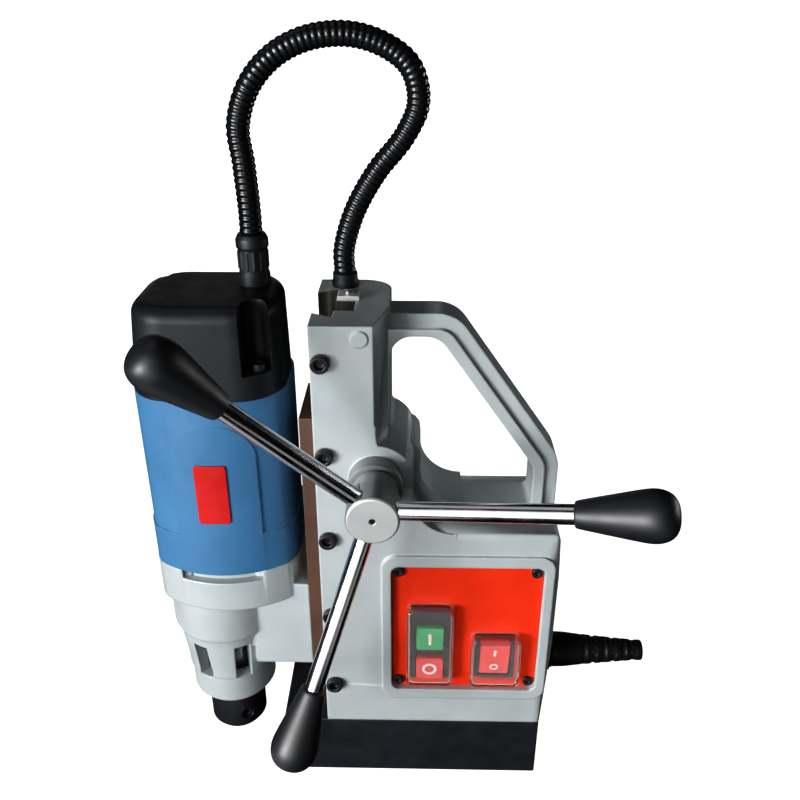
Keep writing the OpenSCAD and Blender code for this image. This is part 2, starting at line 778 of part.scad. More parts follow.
module flex_hose() {
    n = 2 * hose_ribs;
    inner = 60;
    function ring(s, r) = let (c = on_route(hose_route, s), e = 0.002,
        t = s < 0.03 ? [0, 0, 1] : s > 0.97 ? [0, 0, -1]
            : unit(on_route(hose_route, min(1, s + e)) - on_route(hose_route, max(0, s - e))),
        u = unit(cross(t, [0, 1, 0])), v = cross(u, t))
        [for (k = [0 : hose_sides - 1]) let (a = 360 * k / hose_sides) c + r * (cos(a) * u + sin(a) * v)];
    outside = [for (i = [0 : n]) each ring(i / n, i % 2 == 0 ? hose_radius - 0.9 : hose_radius)];
    inside = [for (i = [0 : inner]) each ring(i / inner, cable_bore)];
    base = len(outside);
    k = hose_sides;
    faces = concat(
        [for (i = [0 : n - 1], j = [0 : k - 1])
            [i * k + j, i * k + (j + 1) % k, (i + 1) * k + (j + 1) % k]],
        [for (i = [0 : n - 1], j = [0 : k - 1]) [i * k + j, (i + 1) * k + (j + 1) % k, (i + 1) * k + j]],
        [for (i = [0 : inner - 1], j = [0 : k - 1])
            [base + i * k + j, base + (i + 1) * k + (j + 1) % k, base + i * k + (j + 1) % k]],
        [for (i = [0 : inner - 1], j = [0 : k - 1])
            [base + i * k + j, base + (i + 1) * k + j, base + (i + 1) * k + (j + 1) % k]],
        [for (j = [0 : k - 1]) [j, base + j, base + (j + 1) % k]],
        [for (j = [0 : k - 1]) [j, base + (j + 1) % k, (j + 1) % k]],
        [for (j = [0 : k - 1]) [n * k + j, base + inner * k + (j + 1) % k, base + inner * k + j]],
        [for (j = [0 : k - 1]) [n * k + j, n * k + (j + 1) % k, base + inner * k + (j + 1) % k]]);
    color(black) polyhedron(points = concat(outside, inside), faces = faces, convexity = 10);
}

// Slide.
rail_spots = [[10, 7], [-10, 7], [10, 19], [-10, 19]];

module slide_rail() {
    color(rail_brown) difference() {
        translate([0, 0, rail_bottom]) linear_extrude(rail_length) union() {
            translate([rail_left, -rail_width / 2]) square([rail_plate, rail_width]);
            polygon([[rail_right - 1, -tongue_at(rail_right)], [rail_right, -tongue_at(rail_right)],
                [tongue_back, -tongue_half], [tongue_back, tongue_half],
                [rail_right, tongue_at(rail_right)], [rail_right - 1, tongue_at(rail_right)]]);
        }
        for (s = rail_spots) {
            x_cylinder(s[0], rail_bottom + s[1], 3, rail_left - 1, tongue_back + 1);
            x_cylinder(s[0], rail_bottom + s[1], 5.2, tongue_back - 6.2, tongue_back + 1);
        }
        for (z = rack_spots) x_cylinder(rack_middle, z, 2, tongue_back - 10, tongue_back + 1);
    }
}

module rail_screws() {
    color(black) for (s = rail_spots) difference() {
        union() {
            x_cylinder(s[0], rail_bottom + s[1], 5, tongue_back - 6.2, tongue_back - 0.7);
            x_cylinder(s[0], rail_bottom + s[1], 3, rail_left - 12, tongue_back - 5);
        }
        translate([tongue_back - 3.2, s[0], rail_bottom + s[1]]) rotate([0, 90, 0])
            cylinder(r = 2.8, h = 5, $fn = 6);
    }
}

rack_step = PI * feed_module;
rack_below = floor((feed_height - rail_bottom - rack_clear) / rack_step);
rack_above = 3;
rack_low = feed_height - (rack_below + 0.5) * rack_step;
rack_high = feed_height + (rack_above + 0.5) * rack_step;
rack_spots = [rack_low + 5, (rack_low + rack_high) / 2, rack_high - 5];

rack_root = pitch_line - 1.25 * feed_module;
rack_tip = pitch_line + 0.95 * feed_module;

module feed_rack() {
    a = rack_step / 4 - 0.08;
    d = feed_module * tan(25);
    color(steel) difference() {
        y_extrude(rack_middle - rack_width / 2, rack_middle + rack_width / 2) polygon(concat(
            [[tongue_back, rack_high], [tongue_back, rack_low], [rack_root, rack_low]],
            [for (i = [-rack_below : rack_above]) let (z = feed_height + i * rack_step) each [
                [rack_root, z - a - 1.25 * d], [rack_tip, z - a + 0.95 * d],
                [rack_tip, z + a - 0.95 * d], [rack_root, z + a + 1.25 * d]]],
            [[rack_root, rack_high]]));
        for (z = rack_spots) {
            x_cylinder(rack_middle, z, 2, tongue_back - 1, pitch_line + 5);
            x_cylinder(rack_middle, z, 3.6, rack_root - 3, pitch_line + 5);
        }
    }
}

module rack_screws() {
    color(black) for (z = rack_spots) union() {
        x_cylinder(rack_middle, z, 3.5, rack_root - 3, rack_root - 0.4);
        x_cylinder(rack_middle, z, 2, tongue_back - 9, rack_root - 2);
    }
}

// Gearbox and nose.
module gearbox_housing() {
    saddle_left = spindle_x + 21;
    color(cast_grey) difference() {
        union() {
            translate([spindle_x, 0, 0]) rotate_extrude() polygon([[0, nose_z], [nose_radius - 3, nose_z],
                [nose_radius, nose_z + 4], [nose_radius, ring_top], [nose_radius + 1.2, ring_top + 1],
                [nose_radius + 1.6, ring_top + 9], [body_radius - 2.5, shoulder_z - 1],
                [body_radius, shoulder_z + 4],
                [body_radius, collar_z + 1], [0, collar_z + 1]]);
            translate([motor_x, 0, collar_z]) linear_extrude(collar_height)
                motor_plan(1);
            translate([saddle_left, -rail_width / 2, rail_bottom])
                cube([rail_left - saddle_left, rail_width, collar_z + 8 - rail_bottom]);
        }
        // Bores for arbor, bush, bearing and gears.
        z_cylinder(spindle_x, 0, arbor_radius + 1, nose_z - 1, nose_z + 10.5);
        z_cylinder(spindle_x, 0, 20, nose_z + 10, shoulder_z);
        z_cylinder(spindle_x, 0, 13, shoulder_z - 1, bearing_z + 1);
        z_cylinder(spindle_x, 0, 16, bearing_z, cavity_z + 1);
        z_cylinder(spindle_x, 0, 18, cavity_z, collar_z + 6);
        z_cylinder(idler_x, idler_dy, 8.7, cavity_z, plate_z);
        z_cylinder(idler_x, idler_dy, 16.5, collar_z + 2, plate_z + 1);
        z_cylinder(idler_x, idler_dy, 3.5 + fit_gap, cavity_z - 8, cavity_z + 1);
        z_cylinder(motor_x, 0, 14, collar_z + 2, plate_z + 1);
        translate([motor_x, 0, plate_z]) linear_extrude(20) plate_plan();
        // Front air gap under the motor.
        translate([motor_x - 24, -motor_depth / 2 - 2, motor_z - 6]) cube([48, 9, 10]);
        // Four windows round the nose.
        for (a = [window_turn, -window_turn]) translate([spindle_x, 0, window_z]) rotate([0, 0, a])
            translate([-60, -window_width / 2, 0])
                cube([60 + nose_radius + 6, window_width, window_height]);
        for (s = rail_spots) x_cylinder(s[0], rail_bottom + s[1], 3, rail_left - 13, rail_left + 1);
    }
}

module nose_bush() {
    color(bronze) translate([spindle_x, 0, 0]) difference() {
        z_cylinder(0, 0, 20, nose_z + 10.5, ring_top - 6);
        z_cylinder(0, 0, 16 + fit_gap, nose_z, ring_top + 1);
    }
}

module ring_bearing(x, z0, z1, inner, outer) {
    h = z1 - z0;
    translate([x, 0, z0]) rotate_extrude() polygon([[inner, 0], [outer, 0], [outer, h], [outer - 1.6, h],
        [outer - 2, h - 0.6], [inner + 2, h - 0.6], [inner + 1.6, h], [inner, h]]);
}

module spindle_bearing() {
    color(bright) ring_bearing(spindle_x, bearing_z, cavity_z, 10 + fit_gap, 16);
}

module armature_bearings() {
    color(bright) union() {
        ring_bearing(motor_x, plate_z, plate_z + 7, 5 + fit_gap, 11);
        ring_bearing(motor_x, upper_bearing_z, upper_bearing_z + 7, 5 + fit_gap, 11);
    }
}

module plate_plan() {
    motor_plan(-4);
}

module gear_plate() {
    color([0.42, 0.43, 0.44]) difference() {
        translate([motor_x, 0, plate_z]) linear_extrude(7) plate_plan();
        z_cylinder(motor_x, 0, 11, plate_z - 1, plate_z + 8);
        z_cylinder(idler_x, idler_dy, 3.5 + fit_gap, plate_z - 1, plate_z + 5);
    }
}

module cap_spots() {
    for (s = [-1, 1]) translate([motor_x + s * screw_dx, -s * screw_dy, 0]) children();
}

// Motor.
module motor_plan(grow) {
    w = motor_width / 2 - motor_round;
    d = motor_depth / 2 - motor_round;
    r = motor_round + grow;
    middle = motor_crown - motor_depth / 2;
    low = middle - sqrt(pow(motor_crown - motor_round + 1.2, 2) - w * w);
    intersection() {
        translate([0, middle]) circle(motor_crown + grow);
        union() {
            polygon([[-w - r, low], [w + r, low], [w + r, d], [w, d + r], [-w, d + r], [-w - r, d]]);
            translate([0, middle]) polygon([[0, 0], [-w, low - middle] * 2, [w, low - middle] * 2]);
            for (x = [-w, w], y = [low, d]) translate([x, y]) circle(r);
        }
    }
}

module motor_shape(grow, height) {
    translate([motor_x, 0, motor_z]) linear_extrude(height) motor_plan(grow);
}

module arch_panel() {
    top = motor_height - arch_drop - arch_width / 2;
    translate([arch_x, motor_z]) union() {
        translate([-arch_width / 2, foot_height - 1]) square([arch_width, top - foot_height + 1]);
        translate([0, top]) circle(arch_width / 2);
    }
}

module motor_housing() {
    color(blue) difference() {
        union() {
            motor_shape(0, motor_height);
            motor_shape(motor_relief, foot_height);
            intersection() {
                motor_shape(motor_relief, motor_height);
                y_extrude(motor_front - 5, motor_front + 12) arch_panel();
            }
        }
        z_cylinder(motor_x, 0, stator_radius - 2, motor_z - 1, motor_z + 40);
        z_cylinder(motor_x, 0, stator_radius, stator_z, cap_z + 1);
        cap_spots() z_cylinder(0, 0, 2, cap_z - 18, cap_z + 1);
    }
}

module motor_label() {
    color(red) difference() {
        intersection() {
            motor_shape(motor_relief + label_gap + label_plate, motor_height);
            y_extrude(motor_front - 5, motor_front + 5)
                translate([motor_x + 0.7, motor_z + motor_height / 2 - 0.5])
                    rounded(label_width, label_height, 2);
        }
        motor_shape(motor_relief + label_gap, motor_height);
    }
}

module stator_core() {
    color([0.45, 0.46, 0.48]) translate([motor_x, 0, stator_z]) difference() {
        cylinder(r = stator_radius, h = stator_height);
        translate([0, 0, -1]) linear_extrude(stator_height + 2) difference() {
            circle(27);
            for (y = [-1, 1]) translate([0, y * 25]) square([20, 18], center = true);
        }
        translate([0, 0, -1]) cylinder(r = spin_radius, h = stator_height + 2);
    }
}

module field_coils() {
    color(copper) for (y = [-1, 1]) translate([motor_x, 0, stator_z - 7]) difference() {
        linear_extrude(stator_height + 14) intersection() {
            difference() {
                circle(26.8);
                circle(21.2);
            }
            translate([0, y * 25]) square([34, 28], center = true);
        }
        translate([-10.1, -40, 7 - 0.1]) cube([20.2, 80, stator_height + 0.2]);
    }
}

module brush_holders() {
    color([0.55, 0.42, 0.2]) for (a = [0, 180]) translate([motor_x, 0, commutator_z + 4]) rotate([0, 0, a])
        difference() {
            intersection() {
                translate([16.5, -6, 0]) cube([20, 12, 14]);
                translate([0, 0, -1]) cylinder(r = stator_radius, h = 16);
            }
            translate([0, -4, 3]) cube([28, 8, 8]);
        }
}

module brushes() {
    color([0.16, 0.16, 0.17]) for (a = [0, 180]) translate([motor_x, 0, commutator_z + 7]) rotate([0, 0, a])
        difference() {
            translate([5, -4, 0]) cube([23, 8, 8]);
            translate([0, 0, -1]) cylinder(r = 13 + 0.3, h = 10);
        }
}

module cap_side(half, taper, r) {
    rounded_poly([[-half, cap_z - 20], [half, cap_z - 20], [half - taper[1], cap_top],
        [-half + taper[0], cap_top]], [0, 0, r[1], r[0]]);
}

module end_cap() {
    w = motor_width - 2 * cap_inset;
    d = motor_depth - 2 * cap_inset;
    diagonal = (w / 2 + d / 2 - 2 * (motor_round - cap_inset)) / sqrt(2) + motor_round - cap_inset - 0.2;
    color(black) difference() {
        intersection() {
            translate([motor_x, 0, cap_z]) linear_extrude(cap_height)
                rounded(w, d, motor_round - cap_inset);
            translate([motor_x, 0, 0]) y_extrude(-60, 60) cap_side(w / 2, [4, 1], [13, 8]);
            x_extrude(motor_x - 60, motor_x + 60) cap_side(d / 2, [0.5, 0.5], [4, 9]);
            translate([motor_x, 0, 0]) rotate([0, 0, 45])
                y_extrude(-70, 70) cap_side(diagonal, [2, 2], [9, 9]);
            translate([motor_x, 0, 0]) rotate([0, 0, -45])
                y_extrude(-70, 70) cap_side(diagonal, [2, 2], [9, 9]);
        }
        z_cylinder(motor_x, 0, 26, cap_z - 1, upper_bearing_z - 4);
        z_cylinder(motor_x, 0, 11, upper_bearing_z - 5, upper_bearing_z + 7);
        z_cylinder(connector_x, connector_y, 5, cap_z + 5, cap_top + 1);
        cap_spots() z_cylinder(0, 0, 2, cap_z - 1, cap_z + 20);
        cap_spots() z_cylinder(0, 0, 4.6, cap_z + 14, cap_top + 1);
        // Open slot at the front right corner.
        translate([motor_x + screw_dx, -screw_dy, cap_z + 14]) linear_extrude(cap_height) union() {
            circle(7);
            translate([-7, -30]) square([14, 30]);
        }
    }
}

module cap_screws() {
    color(steel) cap_spots() difference() {
        union() {
            z_cylinder(0, 0, 4, cap_z + 14, cap_z + 18);
            z_cylinder(0, 0, 2, cap_z - 17, cap_z + 15);
        }
        translate([0, 0, cap_z + 16]) cylinder(r = 2, h = 5, $fn = 6);
    }
}

module hose_connector() {
    color(black) translate([connector_x, connector_y, 0]) rotate_extrude() polygon([
        [cable_bore, cap_top - 9], [5, cap_top - 9], [5, cap_top], [8.6, cap_top],
        [8.6, cap_top + 6], [8, cap_top + 7],
        [8, cap_top + 20], [8.8, cap_top + 21], [8.8, cap_top + 25], [7.4, connector_top],
        [cable_bore, connector_top]]);
}

// Feed hub and levers.
module feed_pinion() {
    color(steel) union() {
        y_cylinder(feed_x, feed_height, shaft_radius, hub_front + 17, bush_back - 0.5);
        translate([feed_x, pinion_back, feed_height]) rotate([90, 0, 0])
            linear_extrude(pinion_back - pinion_front) rotate(180 + 180 / feed_teeth)
                gear_outline(feed_teeth, feed_module, 0.16);
    }
}

module lever_spots() {
    for (i = [0 : 2]) translate([feed_x, lever_y, feed_height]) rotate([0, -lever_angle - 120 * i, 0])
        rotate([0, 0, -lever_lean]) rotate([0, 90, 0]) children();
}

module feed_hub() {
    color(bright) difference() {
        translate([feed_x, hub_back, feed_height]) rotate([90, 0, 0]) rotate_extrude() polygon([
            [0, 0], [hub_radius - 1.5, 0], [hub_radius - 1.5, 9], [hub_radius, 11],
            [hub_radius, hub_length - 1.2], [hub_radius - 1.2, hub_length], [0, hub_length]]);
        y_cylinder(feed_x, feed_height, shaft_radius, hub_front + 17, hub_back + 1);
        y_cylinder(feed_x, feed_height, 1.6, hub_front - 1, hub_front + 8);
        lever_spots() z_cylinder(0, 0, rod_radius, rod_start, 40);
    }
}

module feed_rods() {
    color(bright) lever_spots() z_cylinder(0, 0, rod_radius, rod_start, knob_start + 24);
}

module feed_knobs() {
    k = knob_start;
    r = knob_radius;
    e = lever_length;
    color(black) lever_spots() rotate_extrude() polygon([[0, k + 24], [rod_radius, k + 24], [rod_radius, k],
        [r * 0.52, k], [r * 0.56, k + 3], [r * 0.66, k + 10], [r * 0.8, k + 20], [r * 0.93, k + 29],
        [r, e - 13], [r * 0.98, e - 9], [r * 0.88, e - 5], [r * 0.68, e - 2.1], [r * 0.38, e - 0.5],
        [0, e]]);
}

// Spinning parts.
module armature_shaft() {
    color(steel) union() {
        z_cylinder(motor_x, 0, 5, plate_z - 1, upper_bearing_z + 6.5);
        translate([motor_x, 0, collar_z + 3]) linear_extrude(plate_z - collar_z - 3.5) rotate(first_angle)
            gear_outline(first_small, first_module, 0.14);
    }
}

module shaft_ring(z, h, r) {
    translate([motor_x, 0, z]) difference() {
        cylinder(r = r, h = h);
        translate([0, 0, -1]) cylinder(r = 5, h = h + 2);
    }
}

module armature_core() {
    color([0.5, 0.5, 0.52]) difference() {
        shaft_ring(stator_z, stator_height, armature_radius);
        for (a = [0 : 30 : 359]) translate([motor_x, 0, stator_z - 1]) rotate([0, 0, a])
            translate([armature_radius - 5, -1, 0]) cube([10, 2, stator_height + 2]);
    }
}

module commutator() {
    color(copper) shaft_ring(commutator_z, 21, 13);
}

module cooling_fan() {
    color(black) union() {
        shaft_ring(motor_z + 4, 3, 29);
        shaft_ring(motor_z + 4, 12, 9);
        for (a = [0 : 40 : 359]) translate([motor_x, 0, motor_z + 6]) rotate([0, 0, a])
            translate([8, -0.8, 0]) cube([19.5, 1.6, 9]);
    }
}

module idler_gear() {
    color(steel) translate([idler_x, idler_dy, 0]) union() {
        z_cylinder(0, 0, 3.5, cavity_z - 7.5, plate_z + 4.5);
        translate([0, 0, cavity_z + 2]) linear_extrude(collar_z + 4 - cavity_z - 2) rotate(second_angle)
            gear_outline(second_small, second_module, 0.14);
        translate([0, 0, collar_z + 4]) linear_extrude(9) rotate(first_angle + 180 + 180 / first_large)
            gear_outline(first_large, first_module, 0.14);
    }
}

module spindle_gear() {
    color(steel) translate([spindle_x, 0, cavity_z + 3]) linear_extrude(11) difference() {
        rotate(second_angle + 180 + 180 / second_large) gear_outline(second_large, second_module, 0.14);
        circle(10);
    }
}

arbor_top = nose_z + 9;
taper_low = arbor_top + 0.5;
taper_top = taper_low + 30;

module spindle() {
    color(steel) difference() {
        translate([spindle_x, 0, 0]) rotate_extrude() polygon([[8.9, taper_low], [16, taper_low],
            [16, shoulder_z - 1.5], [10, shoulder_z - 1.5], [10, cavity_z + 14], [0, cavity_z + 14],
            [0, taper_top + 9], [7.4, taper_top + 9], [7.4, taper_top]]);
        translate([spindle_x - 30, -3, taper_top + 1]) cube([60, 6, 7]);
    }
}

module arbor() {
    z = arbor_clearance;
    color(black) difference() {
        translate([spindle_x, 0, 0]) rotate_extrude() polygon([[0, z], [arbor_radius - 3, z],
            [arbor_radius, z + 4], [arbor_radius, arbor_top], [8.9, arbor_top], [8.9, taper_low],
            [7.4, taper_top], [0, taper_top]]);
        z_cylinder(spindle_x, 0, shank_bore / 2, z - 1, z + shank_depth);
        for (a = [-60, 120]) translate([spindle_x, 0, z + 13]) rotate([0, 0, a]) rotate([0, 90, 0])
            cylinder(r = 4, h = 30);
    }
}

module arbor_screws() {
    color(steel) for (a = [-60, 120]) translate([spindle_x, 0, arbor_clearance + 13]) rotate([0, 0, a])
        rotate([0, 90, 0]) difference() {
            translate([0, 0, shank_bore / 2 + 0.4]) cylinder(r = 4, h = 7);
            translate([0, 0, shank_bore / 2 + 4.4]) cylinder(r = 2.2, h = 5, $fn = 6);
        }
}

magnet_body();
magnet_coil();
magnet_potting();
magnet_bolts();
stand_casting();
control_panel();
panel_screws();
gib_strip();
gib_screws();
feed_bushes();
switch_body();
switch_cover();
rocker_housing();
rocker_cover();
control_board();
board_screws();
top_gland();
clamp_plate();
clamp_screw();
cord_gland();
cord_boot();
flex_hose();
slide_rail();
feed_rack();
rack_screws();
rail_screws();
gearbox_housing();
nose_bush();
spindle_bearing();
gear_plate();
motor_housing();
motor_label();
stator_core();
field_coils();
brush_holders();
brushes();
armature_bearings();
end_cap();
cap_screws();
hose_connector();
feed_pinion();
feed_hub();
feed_rods();
feed_knobs();
armature_shaft();
armature_core();
commutator();
cooling_fan();
idler_gear();
spindle_gear();
spindle();
arbor();
arbor_screws();
start_button();
stop_button();
magnet_rocker();
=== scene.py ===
import json
from bisect import bisect_left
from math import pi, radians

import bmesh
import bpy
from mathutils import Matrix, Vector


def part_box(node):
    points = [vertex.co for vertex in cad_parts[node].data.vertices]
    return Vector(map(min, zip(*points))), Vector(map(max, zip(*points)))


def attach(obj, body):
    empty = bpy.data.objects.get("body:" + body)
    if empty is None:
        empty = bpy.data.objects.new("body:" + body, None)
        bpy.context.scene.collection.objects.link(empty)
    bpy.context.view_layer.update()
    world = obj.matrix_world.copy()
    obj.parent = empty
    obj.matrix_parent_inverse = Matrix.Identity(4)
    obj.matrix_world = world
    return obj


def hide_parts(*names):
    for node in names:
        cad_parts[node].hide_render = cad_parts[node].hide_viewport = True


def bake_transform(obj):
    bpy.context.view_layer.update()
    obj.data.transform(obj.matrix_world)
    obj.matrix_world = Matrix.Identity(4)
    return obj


MM = 0.001
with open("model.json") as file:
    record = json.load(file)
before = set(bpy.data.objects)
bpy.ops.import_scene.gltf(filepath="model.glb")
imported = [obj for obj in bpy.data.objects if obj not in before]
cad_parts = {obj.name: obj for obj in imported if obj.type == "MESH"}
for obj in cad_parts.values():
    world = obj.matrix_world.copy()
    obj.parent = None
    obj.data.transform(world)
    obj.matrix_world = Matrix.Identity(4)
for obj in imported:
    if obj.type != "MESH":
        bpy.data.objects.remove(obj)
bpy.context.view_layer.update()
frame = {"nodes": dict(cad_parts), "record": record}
scene = bpy.context.scene
record = frame["record"]
BODY = {n: b for b, held in record["behaviour"]["bodies"].items() for n in held}
SLOT = {p["node"]: p["material_slot"] for p in record["subparts"]}
AXIS = {j["name"]: j["pos_m"] for j in record["behaviour"]["joints"] if "pos_m" in j}
FEED_X, _, FEED_Z = AXIS["feed_turn"]
HUB_FACE_Y = -0.0665
LEVER_COUNT = 3


# Camera, light and floor.

def photo_camera():
    data = bpy.data.cameras.new("photo_camera")
    data.lens = 37.69
    data.sensor_width = 36
    data.clip_start = 0.01
    camera = bpy.data.objects.new("photo_camera", data)
    camera.location = (0.0005, -0.4286, 0.4751)
    camera.rotation_euler = (radians(63.297), 0, radians(1.129))
    scene.collection.objects.link(camera)
    scene.camera = camera


def soft_light(name, watts, place, size, aim=(0, 0, 0.2), in_paint=True, in_mirrors=True):
    """A rectangle of light, which can be kept out of matt surfaces or out of shiny ones."""
    data = bpy.data.lights.new(name, "AREA")
    data.shape = "RECTANGLE"
    data.size, data.size_y = size
    data.energy = watts
    lamp = bpy.data.objects.new(name, data)
    lamp.visible_diffuse = in_paint
    lamp.visible_glossy = in_mirrors
    lamp.visible_camera = False
    lamp.location = place
    towards = Vector(aim) - Vector(place)
    lamp.rotation_euler = towards.to_track_quat("-Z", "Y").to_euler()
    scene.collection.objects.link(lamp)


def mirror_card(name, watts, place, size, **aim):
    """A pale card that only gloss and bare metal show."""
    soft_light(name, watts, place, size, in_paint=False, **aim)


def sky_from_behind():
    sun = bpy.data.lights.new("sky_from_behind", "SUN")
    sun.energy = 0.1
    sun.angle = radians(60)
    lamp = bpy.data.objects.new("sky_from_behind", sun)
    lamp.rotation_euler = Vector((0.5, -1.5, -0.9)).to_track_quat("-Z", "Y").to_euler()
    lamp.visible_glossy = False
    scene.collection.objects.link(lamp)


def studio():
    scene.view_settings.view_transform = "Standard"
    scene.view_settings.look = "Medium High Contrast"
    world = bpy.data.worlds.new("studio_air")
    world.use_nodes = True
    air = world.node_tree.nodes["Background"].inputs
    air["Color"].default_value = (1, 1, 1, 1)
    air["Strength"].default_value = 1.0
    scene.world = world
    world.cycles_visibility.diffuse = world.cycles_visibility.glossy = False

    soft_light("key_from_front_left", 128, (-2.1, -2.15, 0.5), (1.4, 1.1), aim=(-0.05, 0, 0.2))
    soft_light("fill_from_front", 9, (-0.75, -2.0, 0.3), (1.2, 0.7))
    soft_light("box_by_the_camera", 1.6, (-0.25, -1.15, 1.05), (0.6, 0.35))
    mirror_card("card_above_the_key", 4.5, (-1.2, -1.5, 1.2), (1.0, 1.5))
    mirror_card("card_low_in_front", 0.4, (-0.15, -0.62, 0.12), (0.6, 0.2), aim=(0.05, -0.1, 0.3))
    mirror_card("card_overhead", 0.5, (-0.4, 0.15, 1.35), (0.7, 0.6), aim=(0, 0, 0.25))
    mirror_card("card_low_on_the_left", 0.1, (-0.24, -0.2, 0.002), (0.28, 0.3),
                aim=(-0.24, -0.2, 1))
    mirror_card("card_low_on_the_right", 0.08, (0.27, -0.42, 0.002), (0.3, 0.3),
                aim=(0.27, -0.42, 1))
    soft_light("key_from_behind", 62, (-0.4, 2.7, 0.3), (1.8, 1.0), in_mirrors=False)
    mirror_card("card_behind", 2.4, (-0.6, 2.7, 0.55), (1.8, 1.0))
    soft_light("fill_from_the_right", 11, (2.3, 1.0, 0.2), (1.2, 0.6))
    sky_from_behind()


photo_camera()
studio()


# Finishes. Every pattern is read in object coordinates, so its scale is in metres.

SCUFFS = 260
SWELLS = 95
LATHE_CIRCLES = 420
LATHE_DEPTH = 0.000012
GLOSS_TO_COLOUR = 3.1


class Finish:
    """A material with short ways to add its nodes."""

    def __init__(self, name):
        self.material = bpy.data.materials.new(name)
        self.material.use_nodes = True
        self.tree = self.material.node_tree
        self.shader = self.tree.nodes["Principled BSDF"]
        self.place = self.add("ShaderNodeTexCoord")

    def add(self, kind, **values):
        made = self.tree.nodes.new(kind)
        for key, value in values.items():
            setattr(made, key, value)
        return made

    def wire(self, source, target):
        self.tree.links.new(source, target)

    def fixed(self, **values):
        for key, value in values.items():
            self.shader.inputs[key.replace("_", " ")].default_value = value

    def noise(self, scale, detail=3.0, stretch=None):
        made = self.add("ShaderNodeTexNoise")
        made.inputs["Scale"].default_value = scale
        made.inputs["Detail"].default_value = detail
        if stretch:
            turn = self.add("ShaderNodeMapping")
            turn.inputs["Scale"].default_value = stretch
            self.wire(self.place.outputs["Object"], turn.inputs["Vector"])
            self.wire(turn.outputs["Vector"], made.inputs["Vector"])
        else:
            self.wire(self.place.outputs["Object"], made.inputs["Vector"])
        return made.outputs["Fac"]

    def rings(self, centre, turn, scale):
        """Fine circles round an axis through centre, as a lathe leaves them."""
        shift = self.add("ShaderNodeMapping")
        shift.inputs["Location"].default_value = [-c for c in centre]
        wave = self.add("ShaderNodeTexWave", wave_type="RINGS", rings_direction=turn)
        wave.inputs["Scale"].default_value = scale
        wave.inputs["Distortion"].default_value = 0.6
        wave.inputs["Detail"].default_value = 2
        self.wire(self.place.outputs["Object"], shift.inputs["Vector"])
        self.wire(shift.outputs["Vector"], wave.inputs["Vector"])
        return wave.outputs["Fac"]

    def between(self, value, low, high, start=0.3, stop=0.7):
        made = self.add("ShaderNodeMapRange")
        made.inputs["From Min"].default_value = start
        made.inputs["From Max"].default_value = stop
        made.inputs["To Min"].default_value = low
        made.inputs["To Max"].default_value = high
        self.wire(value, made.inputs["Value"])
        return made.outputs["Result"]

    def blend(self, value, first, second):
        made = self.add("ShaderNodeMix", data_type="RGBA")
        self.wire(value, made.inputs["Factor"])
        for socket, colour in ((made.inputs[6], first), (made.inputs[7], second)):
            if isinstance(colour, tuple):
                socket.default_value = (*colour, 1)
            else:
                self.wire(colour, socket)
        return made.outputs[2]

    def bump(self, value, depth, under=None):
        made = self.add("ShaderNodeBump")
        made.inputs["Strength"].default_value = 1.0
        made.inputs["Distance"].default_value = depth
        self.wire(value, made.inputs["Height"])
        if under:
            self.wire(under, made.inputs["Normal"])
        return made.outputs["Normal"]

    def soft_edges(self, reach):
        """The surface's direction with its edges rounded."""
        soft = self.add("ShaderNodeBevel", samples=6)
        soft.inputs["Radius"].default_value = reach
        return soft.outputs["Normal"]

    def raised_edges(self, soft):
        """1 along edges, broken up by noise so that the wear isn't even."""
        flat = self.add("ShaderNodeNewGeometry")
        same = self.add("ShaderNodeVectorMath", operation="DOT_PRODUCT")
        self.wire(flat.outputs["Normal"], same.inputs[0])
        self.wire(soft, same.inputs[1])
        edge = self.between(same.outputs["Value"], 1, 0, 0.8, 0.99)
        scuff = self.between(self.noise(SCUFFS, 4), 0.15, 0.9, 0.4, 0.62)
        both = self.add("ShaderNodeMath", operation="MULTIPLY")
        self.wire(edge, both.inputs[0])
        self.wire(scuff, both.inputs[1])
        return both.outputs["Value"]

    def set(self, colour=None, roughness=None, normal=None):
        wanted = (colour, "Base Color"), (roughness, "Roughness"), (normal, "Normal")
        for value, socket in wanted:
            if value:
                self.wire(value, self.shader.inputs[socket])
        return self.material


def painted(name, light, dark, rough, grain, depth, worn=None, swell=0.0, cloud=28, soft=0.0009,
            **fixed):
    """Paint, plastic or rubber: drifting colour, uneven gloss, a grain of that many per metre."""
    f = Finish(name)
    f.fixed(**fixed)
    colour = f.blend(f.between(f.noise(cloud, 4), 0, 1), light, dark)
    edges = f.soft_edges(soft)
    if worn:
        colour = f.blend(f.raised_edges(edges), colour, worn)
    normal = f.bump(f.noise(grain, 2), depth, edges)
    if swell:
        normal = f.bump(f.noise(SWELLS, 2), swell, normal)
    return f.set(colour, f.between(f.noise(cloud * GLOSS_TO_COLOUR, 5), *rough), normal)


def metal(name, light, dark, rough, stretch=(1, 1, 1), depth=0.00001, scale=900, **fixed):
    """Bare metal with fine marks drawn out along one way."""
    f = Finish(name)
    f.fixed(Metallic=1.0, **fixed)
    marks = f.noise(scale, 3, stretch)
    colour = f.blend(f.between(f.noise(40, 4), 0, 1), light, dark)
    return f.set(colour, f.between(marks, *rough), f.bump(marks, depth) if depth else None)


def turned(name, light, dark, side, rough, centre, turn, **fixed):
    """Metal with a lathe's circles on its front, and darker sides, which are partly a duller finish
    and partly painted shade.
    """
    f = Finish(name)
    f.fixed(**fixed)
    circles = f.rings(centre, turn, LATHE_CIRCLES)
    colour = f.blend(f.between(f.noise(60, 4), 0, 1), light, dark)
    facing = f.add("ShaderNodeNewGeometry")
    towards = f.add("ShaderNodeSeparateXYZ")
    f.wire(facing.outputs["Normal"], towards.inputs["Vector"])
    # Faces that don't look to the front take the darker side colour, partly as painted shade.
    colour = f.blend(f.between(towards.outputs["Y"], 0, 1, -0.9, -0.6), colour, side)
    return f.set(colour, f.between(circles, *rough), f.bump(circles, LATHE_DEPTH))


